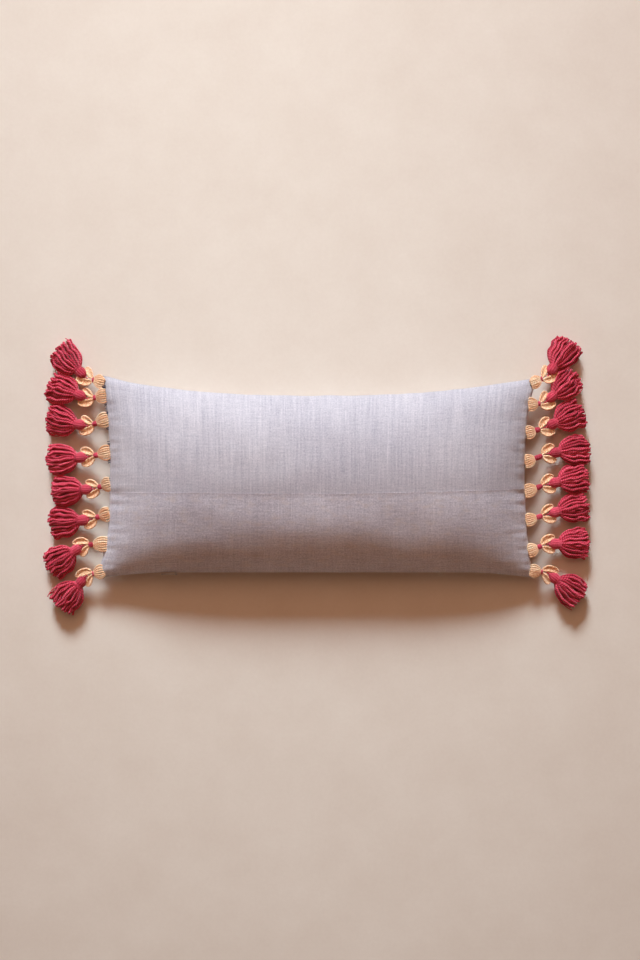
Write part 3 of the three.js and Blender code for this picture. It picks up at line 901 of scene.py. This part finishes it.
def downhill(outward):
    """The way along the cloth towards the zip, for each outward direction."""
    towards_zip = np.zeros_like(outward) + (0, -1, 0)
    along = towards_zip - outward * (towards_zip * outward).sum(axis=1, keepdims=True)
    return along / np.linalg.norm(along, axis=1, keepdims=True)


def finish_cloth(cloth, material, node, crisp=False):
    """Gives a cloth its thickness and finishes it as part of the stuffed pillow."""
    modify(cloth, "SOLIDIFY", thickness=CLOTH, offset=-1)
    finish_piece(cloth, material, "pillow", [node], crisp=crisp)


def sew_cover():
    """Fills the cover, settles it on the floor, puckers it and cuts it into its three cloths."""
    cover = closed_cover()
    ruffle_seam(cover)
    fill_cover(cover)
    lining = copy_piece(cover, "lining")
    modify(cover, "SUBSURF", levels=1, render_levels=1)
    settle_cover(cover)
    pucker(cover)
    settle_cover(cover)
    upper = take_cloth(cover, [UPPER], "cover_front_upper")
    lower = take_cloth(cover, [LOWER], "cover_front_lower")
    cover.name = "cover_back"
    open_slit(lower, SLIT_HALF)
    open_slit(cover, -SLIT_HALF)
    lap_join(upper, lower)
    for cloth, material, slot, node in (
        (upper, UPPER_COTTON, "front_upper_cloth", "front_upper_panel"),
        (lower, LOWER_COTTON, "front_lower_cloth", "front_lower_panel"),
        (cover, BACK_COTTON, "back_cloth", "back_panel"),
    ):
        finish_cloth(cloth, material, node, crisp=True)
    return lining


def stuff_insert(lining):
    """The insert inside the cover: two calico casings sewn together, and the fibre that fills them."""
    settle_cover(lining)
    low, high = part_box("insert_front_panel")
    for share, inside in ((1.0, False), (FIBRE_SHARE, True)):
        piece = copy_piece(lining, "fibre_fill_loose" if inside else "insert_casing")
        points = places(piece)
        points[:, 0] *= high.x * share / HALF_LENGTH * INSERT_EASE
        points[:, 1] *= high.y * share / HALF_WIDTH * INSERT_EASE
        loft = FIBRE_LOFT if inside else CASING_LOFT
        points[:, 2] = SEAM_HEIGHT + (points[:, 2] - SEAM_HEIGHT) * loft
        if inside:
            outward = normals(piece)
            lumps = [noise.noise(Vector(point) * FIBRE_LUMP_SCALE) for point in points]
            points += outward * (np.array(lumps) * FIBRE_LUMPS - FIBRE_LUMPS)[:, None]
        set_places(piece, points)
        if inside:
            finish_piece(piece, FIBRE_FILL, "pillow", ["fibre_fill"])
            continue
        piece.name = "insert_back_casing"
        front = take_cloth(piece, [UPPER, LOWER], "insert_front_casing")
        for part, node in ((front, "insert_front_panel"), (piece, "insert_back_panel")):
            finish_cloth(part, CALICO, node)
    bpy.data.objects.remove(lining)


# ---- yarns ----
def yarn_piece(name, strands, radius):
    """One mesh of round yarns; a strand is its points, whether it is closed, and how thick it is."""
    curve = bpy.data.curves.new(name, "CURVE")
    curve.dimensions = "3D"
    curve.bevel_depth = radius
    curve.bevel_resolution = 1
    curve.use_fill_caps = True
    for points, closed, thickness in strands:
        spline = curve.splines.new("POLY")
        spline.points.add(len(points) - 1)
        placed_points = np.column_stack([points, np.ones(len(points))])
        spline.points.foreach_set("co", placed_points.astype(np.float32).ravel())
        spline.points.foreach_set("radius", (np.ones(len(points)) * thickness).astype(np.float32))
        spline.use_cyclic_u = closed
    piece = bpy.data.objects.new(name, curve)
    add_to_scene(piece)
    activate(piece)
    bpy.ops.object.convert(target="MESH")
    piece = bpy.context.object
    piece.data.name = name
    merge_points(piece)
    return piece


def lay_points(origin, *parts):
    """Points from the origin; each part is how far to go for each of them, and which way."""
    for distances, direction in parts:
        origin = origin + np.outer(distances, direction)
    return origin


def smooth_line(knots, count):
    """A smooth line of count points through the knots."""
    knots = np.asarray(knots, float)
    padded = np.vstack([2 * knots[0] - knots[1], knots, 2 * knots[-1] - knots[-2]])
    steps = np.linspace(0, len(knots) - 1, count)
    first = np.minimum(steps.astype(int), len(knots) - 2)
    u = (steps - first)[:, None]
    a, b, c, d = (padded[first + k] for k in range(4))
    return 0.5 * (2 * b + (c - a) * u + (2 * a - 5 * b + 4 * c - d) * u**2 + (3 * b - a - 3 * c + d) * u**3)


def winding(origin, line, across, up, runs, radii, turns, rng, per_turn=14):
    """A yarn wound round a line; runs and radii say how far along it is and how wide, evenly spaced."""
    count = int(turns * per_turn) + 1
    share = np.linspace(0, 1, count)
    along = np.interp(share, np.linspace(0, 1, len(runs)), runs)
    wide = np.interp(share, np.linspace(0, 1, len(radii)), radii)
    uneven = rng.uniform(-1, 1, int(turns) + 2)
    wide = wide * (1 + 0.03 * np.interp(share * turns, np.arange(len(uneven)), uneven))
    angle = share * turns * 2 * math.pi
    return lay_points(origin, (along, line), (np.cos(angle) * wide, across), (np.sin(angle) * wide, up))


def peach_loop(drop, rng):
    """The peach bundle: a fan sewn into the seam, the eye for the tassel and two petals beside its head."""
    strands = []
    gathered = drop.reach - WAIST_BACK - drop.wrap + 1.5 * MM
    half_width = FAN_HALF_WIDTH[drop.side]
    for layer, strands_in_layer in FAN_LAYERS:
        for position in np.linspace(-1, 1, strands_in_layer):
            wide = half_width * position * rng.uniform(0.96, 1.04)
            share = np.linspace(0, 1, FAN_KNOTS)
            run = -SEAM_TO_HINGE - FAN_INSIDE + (gathered + SEAM_TO_HINGE + FAN_INSIDE) * share
            swell = np.cos(share * math.pi / 2) ** FAN_ROUNDING
            side = wide * swell * (0.86 + 0.3 * np.sin(share * math.pi))
            side += position * WAIST_RADIUS * 0.8 * (1 - swell)
            world = drop.root[1] + wide * drop.loop_across[1]
            farthest = HALF_WIDTH - FAN_TO_CORNER
            if abs(world) > farthest:
                kept = (math.copysign(farthest, world) - drop.root[1]) / (world - drop.root[1])
                side *= 1 - (1 - share) ** 2.5 * (1 - kept)
            bulge = FAN_BULGE * np.sin(share * math.pi) ** 0.8 * (1 - 0.45 * position**2)
            lift = layer * (bulge + LAYER_APART)
            points = lay_points(drop.root, (run, drop.loop_line), (side, drop.loop_across), (lift, UPWARDS))
            through = drop.waist + drop.loop_across * position * WAIST_RADIUS * 0.6
            through = through + [0, 0, layer * LAYER_APART_AT_WAIST]
            strands.append((smooth_line(np.vstack([points, through]), FAN_POINTS), False, 1.0))
    eye_back = drop.loop_line * EYE_LENGTH
    for wide, lift in EYE_YARNS:
        line = [drop.eye + eye_back * run + drop.loop_across * wide * side for run, side in EYE_OUTLINE]
        strands.append((smooth_line(line, 22) + [0, 0, lift], False, 0.9))
    start, turn, tip = drop.waist, drop.eye, drop.eye + drop.line * PETAL_PAST_EYE
    for hand in (-1, 1):
        size = rng.uniform(0.92, 1.08)
        for nest, (span, wide, thickness) in enumerate(PETAL_NESTS):
            angle = np.linspace(0, 2 * math.pi, 26, endpoint=False)
            share = 0.54 - 0.46 * span * np.cos(angle)
            back = 1 - share
            centre = lay_points(0, (back**2, start), (2 * share * back, turn), (share**2, tip))
            turned = lay_points(0, (back, drop.loop_across), (share, drop.across))
            offset = PETAL_START + (PETAL_AT_HEAD - PETAL_START) * np.sin(share * math.pi / 2) ** 0.8
            side = hand * (offset + PETAL_HALF_WIDTH * size * wide * np.sin(angle))
            lift = np.outer(PETAL_ARCH * np.sin(share * math.pi) - PETAL_HOLLOW * nest, UPWARDS)
            strands.append((centre + turned * side[:, None] + lift, True, thickness))
    piece = yarn_piece(drop.named("peach_bundle"), strands, PEACH_YARN)
    finish_piece(piece, PEACH, None, [drop.named("peach_loop")])
    drop.named("loop")
    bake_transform(piece)


def waist_wrap(drop, rng):
    """The red yarn wound round the peach bundle where it is gathered."""
    start = drop.waist - drop.loop_line * drop.wrap
    up = np.cross(drop.loop_line, drop.loop_across)
    line = winding(
        start, drop.loop_line, drop.loop_across, up, (0, drop.wrap), WAIST_RADIUS + WRAP_OVER,
        drop.wrap / (WOUND_PITCH * WRAP_YARN), rng,
    )
    core = start + np.outer(np.linspace(0.03, 0.97, 5) * drop.wrap, drop.loop_line)
    strands = [(line, False, 1.0), (core, False, (WAIST_RADIUS + 0.6 * MM) / WRAP_YARN)]
    piece = yarn_piece(drop.named("waist_winding"), strands, WRAP_YARN)
    finish_piece(piece, RED_WRAP, drop.named("loop"), [drop.named("waist_wrap")])


def tassel_head(drop, rng):
    """The wound head with its ring through the peach eye, and the tie at its neck."""
    round_line = (drop.eye, drop.line, drop.across, drop.up)
    radii = HEAD_RADII * rng.uniform(0.94, 1.05)
    turns = (HEAD_END - HEAD_START) / (WOUND_PITCH * WRAP_YARN)
    wound = winding(*round_line, (HEAD_START, HEAD_END), radii, turns, rng, 16)
    core_runs = np.linspace(HEAD_START + CORE_INSIDE, HEAD_END, len(radii))
    core = drop.eye + np.outer(core_runs, drop.line)
    tie = winding(*round_line, (HEAD_END - TIE_BACK, HEAD_END + TIE_ON), TIE_RADII, TIE_TURNS, rng, 18)
    angle = np.linspace(0, 2 * math.pi, 20, endpoint=False)
    middle = drop.eye + drop.line * (HEAD_START - RING_RADIUS + 0.6 * MM)
    forth, over = np.cos(angle) * RING_RADIUS, np.sin(angle) * RING_RADIUS
    ring = lay_points(middle, (forth, drop.line), (over, drop.up))
    core_thickness = (radii - CORE_INSIDE) / WRAP_YARN
    strands = [(wound, False, 1.0), (core, False, core_thickness), (tie, False, 1.0), (ring, True, 1.1)]
    piece = yarn_piece(drop.named("tassel_head"), strands, WRAP_YARN)
    finish_piece(piece, RED_WRAP, drop.named("tassel"))


def tassel_skirt(drop, rng):
    """The loose cut yarns: a thick wavy bundle that lies spread on the floor."""
    half_width = drop.room() - SKIRT_YARN
    steps = np.linspace(0, 1, SKIRT_POINTS)
    sweep = rng.uniform(-1, 1) * SKIRT_SWEEP
    lean = rng.uniform(-SKIRT_LEAN, SKIRT_LEAN)
    waves = rng.uniform(0.8, 1.3, SKIRT_LOCKS)
    phases = rng.uniform(0, 2 * math.pi, SKIRT_LOCKS)
    start = NECK_RADIUS * SKIRT_START_SHARE
    neck, tucked_in = (drop.eye + drop.line * (HEAD_END - back) for back in (0, SKIRT_TUCK))
    full_turn = steps * 2 * math.pi
    strands = []
    for number in range(SKIRT_STRANDS):
        spread = math.sqrt((number + 0.5) / SKIRT_STRANDS)
        angle = number * GOLDEN_ANGLE
        side, height = spread * math.cos(angle), spread * math.sin(angle)
        opening = 1 - (1 - steps) ** SKIRT_OPENING
        wide = start + (half_width - start) * opening
        deep = start + (SKIRT_HALF_DEPTH - SKIRT_YARN - start) * opening
        length = SKIRT_LENGTH * (1 - SKIRT_ARCH * side**2) * rng.uniform(0.94, 1.03)
        lock = int((side + 1) * SKIRT_LOCKS / 2) % SKIRT_LOCKS
        sway = np.sin(full_turn * 1.5 * waves[lock] + phases[lock]) * LOCK_SWAY
        sway += np.sin(full_turn * rng.uniform(2.2, 3.6) + rng.uniform(0, 6.3)) * YARN_SWAY
        bob = np.sin(full_turn * rng.uniform(1.6, 3.0) + rng.uniform(0, 6.3)) * YARN_BOB
        across = side * wide + lean * steps * wide + steps * sway + steps**2 * sweep
        up = height * deep + steps * bob
        points = lay_points(tucked_in, (steps * length, drop.line), (across, drop.across), (up, drop.up))
        points[:, 2] = np.maximum(points[:, 2], SKIRT_YARN * (1.02 + 0.5 * abs(math.sin(number * 1.7))))
        strands.append((points, False, np.where(steps < 0.99, 1.0, 0.86) * rng.uniform(0.85, 1.12)))
    for _ in range(STRAYS):
        side = rng.choice([-1, 1]) * rng.uniform(0.75, 1.0)
        bow = rng.uniform(2, 6) * MM * np.sign(side)
        length = SKIRT_LENGTH * rng.uniform(0.7, 1.02)
        across = side * half_width * (1 - (1 - steps) ** 2.4) + bow * np.sin(steps * math.pi)
        up = steps * SKIRT_HALF_DEPTH * rng.uniform(-0.6, 0.8)
        points = lay_points(neck, (steps * length, drop.line), (across, drop.across), (up, drop.up))
        points[:, 2] = np.maximum(points[:, 2], SKIRT_YARN)
        strands.append((points, False, STRAY_THICKNESS))
    piece = yarn_piece(drop.named("tassel_skirt"), strands, SKIRT_YARN)
    finish_piece(piece, RED_SKIRT, drop.named("tassel"), [drop.named("tassel")])


def root_stitches(side, rng):
    """Dark hand stitches that hold each bundle in the seam of one end."""
    strands = []
    for drop in DROPS:
        if drop.side != side:
            continue
        along = np.array([-drop.out[1], drop.out[0], 0])
        restitched = (side, drop.number) in RESTITCHED
        stretch = FAN_HALF_WIDTH[side] * (RESTITCHED_SHARE if restitched else STITCH_SHARE)
        for place in rng.uniform(-1, 1, STITCHES * (2 if restitched else 1)):
            middle = drop.root - drop.out * (SEAM_TO_HINGE - 0.6 * MM) + along * place * stretch
            span = rng.uniform(1.8, 3.4) * MM
            slant = rng.uniform(-0.5, 0.5)
            share = np.linspace(-1, 1, 7)
            arch = (FAN_LIFT_AT_SEAM + PEACH_YARN) * np.sqrt(np.clip(1.02 - share**2, 0, 1)) + 0.4 * MM
            out, aside = share * span, share * span * slant
            points = lay_points(middle, (out, drop.out), (aside, along), (arch, UPWARDS))
            strands.append((points, False, 1.0))
    piece = yarn_piece(f"{side}_root_stitches", strands, STITCH_THREAD)
    finish_piece(piece, SEWING_THREAD, "pillow")


# ---- zip ----
def coil_row(name, node, turned):
    """One row of the coil: a tooth swept round its bend, repeated along the tape."""
    low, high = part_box(node)
    centre_z = (low.z + high.z) / 2
    tall = (high.z - low.z) / 2 - COIL_WIRE
    count = int((high.x - low.x) / COIL_PITCH)
    angle = np.linspace(-0.75 * math.pi, 0.75 * math.pi, 6)
    middle_y = (low.y + high.y) / 2
    reach = (high.y - low.y) / 2 - COIL_WIRE
    tooth = np.column_stack([
        low.x + COIL_WIRE + COIL_PITCH * 0.28 * np.linspace(0, 1, 6),
        middle_y - reach * np.cos(angle),
        centre_z + turned * tall * np.sin(angle),
    ])
    piece = yarn_piece(name, [(tooth, False, 1.0)], COIL_WIRE)
    modify(
        piece, "ARRAY", count=count, use_relative_offset=False, use_constant_offset=True,
        constant_offset_displace=(COIL_PITCH, 0, 0),
    )
    finish_piece(piece, ZIP_COIL, "pillow", [node])


def dress_zip():
    coil_row("zip_front_teeth", "zip_front_coil", 1)
    coil_row("zip_back_teeth", "zip_back_coil", -1)
    for node, material in (
        ("zip_front_tape", ZIP_TAPE), ("zip_back_tape", ZIP_TAPE),
        ("zip_slider", ZIP_METAL), ("zip_pull", ZIP_METAL),
    ):
        for holder in frame["nodes"][node].material_slots:
            holder.material = material


# ---- floor, light and camera ----
def lay_floor():
    deselect_all()
    bpy.ops.mesh.primitive_plane_add(size=FLOOR_SIZE, location=(0, 0, 0))
    floor = bpy.context.object
    floor.name = "floor"
    material, shader, surface = new_material("pale plaster", 0.9)
    place = shader.place()
    trowelled = shader.noise(place, 9.0, 6.0, 0.62)
    grainy = shader.noise(place, 160.0, 3.0, 0.6)
    mottled = shader.times(trowelled, 0.75)
    mottled = shader.plus(mottled, shader.times(grainy, 0.25))
    color = shader.mix(shader.spread(mottled, 0.3, 0.7), FLOOR_DEEP, FLOOR_PALE)
    dress(shader, surface, color, mottled, 1.5 * MM, 0.12)
    floor.data.materials.append(material)


def soft_lamp(name, place, aim, size, spread, power, color):
    lamp = bpy.data.lights.new(name, "AREA")
    lamp.shape = "DISK"
    lamp.size = size
    lamp.spread = math.radians(spread)
    lamp.energy = power
    lamp.color = color
    holder = bpy.data.objects.new(name, lamp)
    holder.location = place
    holder.rotation_euler = (Vector(aim) - Vector(place)).to_track_quat("-Z", "Y").to_euler()
    add_to_scene(holder)


def light_scene():
    soft_lamp("window light", KEY_PLACE, KEY_AIM, KEY_SIZE, KEY_SPREAD, KEY_POWER, KEY_COLOR)
    soft_lamp(
        "ceiling light", OVERHEAD_PLACE, (0, 0, 0), OVERHEAD_SIZE, OVERHEAD_SPREAD, OVERHEAD_POWER,
        OVERHEAD_COLOR,
    )
    world = bpy.data.worlds.new("room")
    world.use_nodes = True
    world.node_tree.nodes["Background"].inputs["Color"].default_value = ROOM_COLOR
    world.node_tree.nodes["Background"].inputs["Strength"].default_value = ROOM_STRENGTH
    bpy.context.scene.world = world
    bpy.context.scene.view_settings.view_transform = "Standard"


def place_camera():
    lens = bpy.data.cameras.new("camera")
    lens.type = "PERSP"
    lens.sensor_fit = "VERTICAL"
    lens.sensor_height = SENSOR_HEIGHT
    lens.lens = LENS
    lens.clip_end = FARTHEST
    camera = bpy.data.objects.new("camera", lens)
    camera.location = CAMERA_PLACE
    add_to_scene(camera)
    bpy.context.scene.camera = camera


place_camera()
lay_floor()
light_scene()
stuff_insert(sew_cover())
dress_zip()
for order, hung in enumerate(DROPS):
    random = np.random.default_rng(SEED + order)
    for make in (peach_loop, waist_wrap, tassel_head, tassel_skirt):
        make(hung, random)
for order, end in enumerate(SIDES):
    root_stitches(end, np.random.default_rng(SEED + 100 + order))
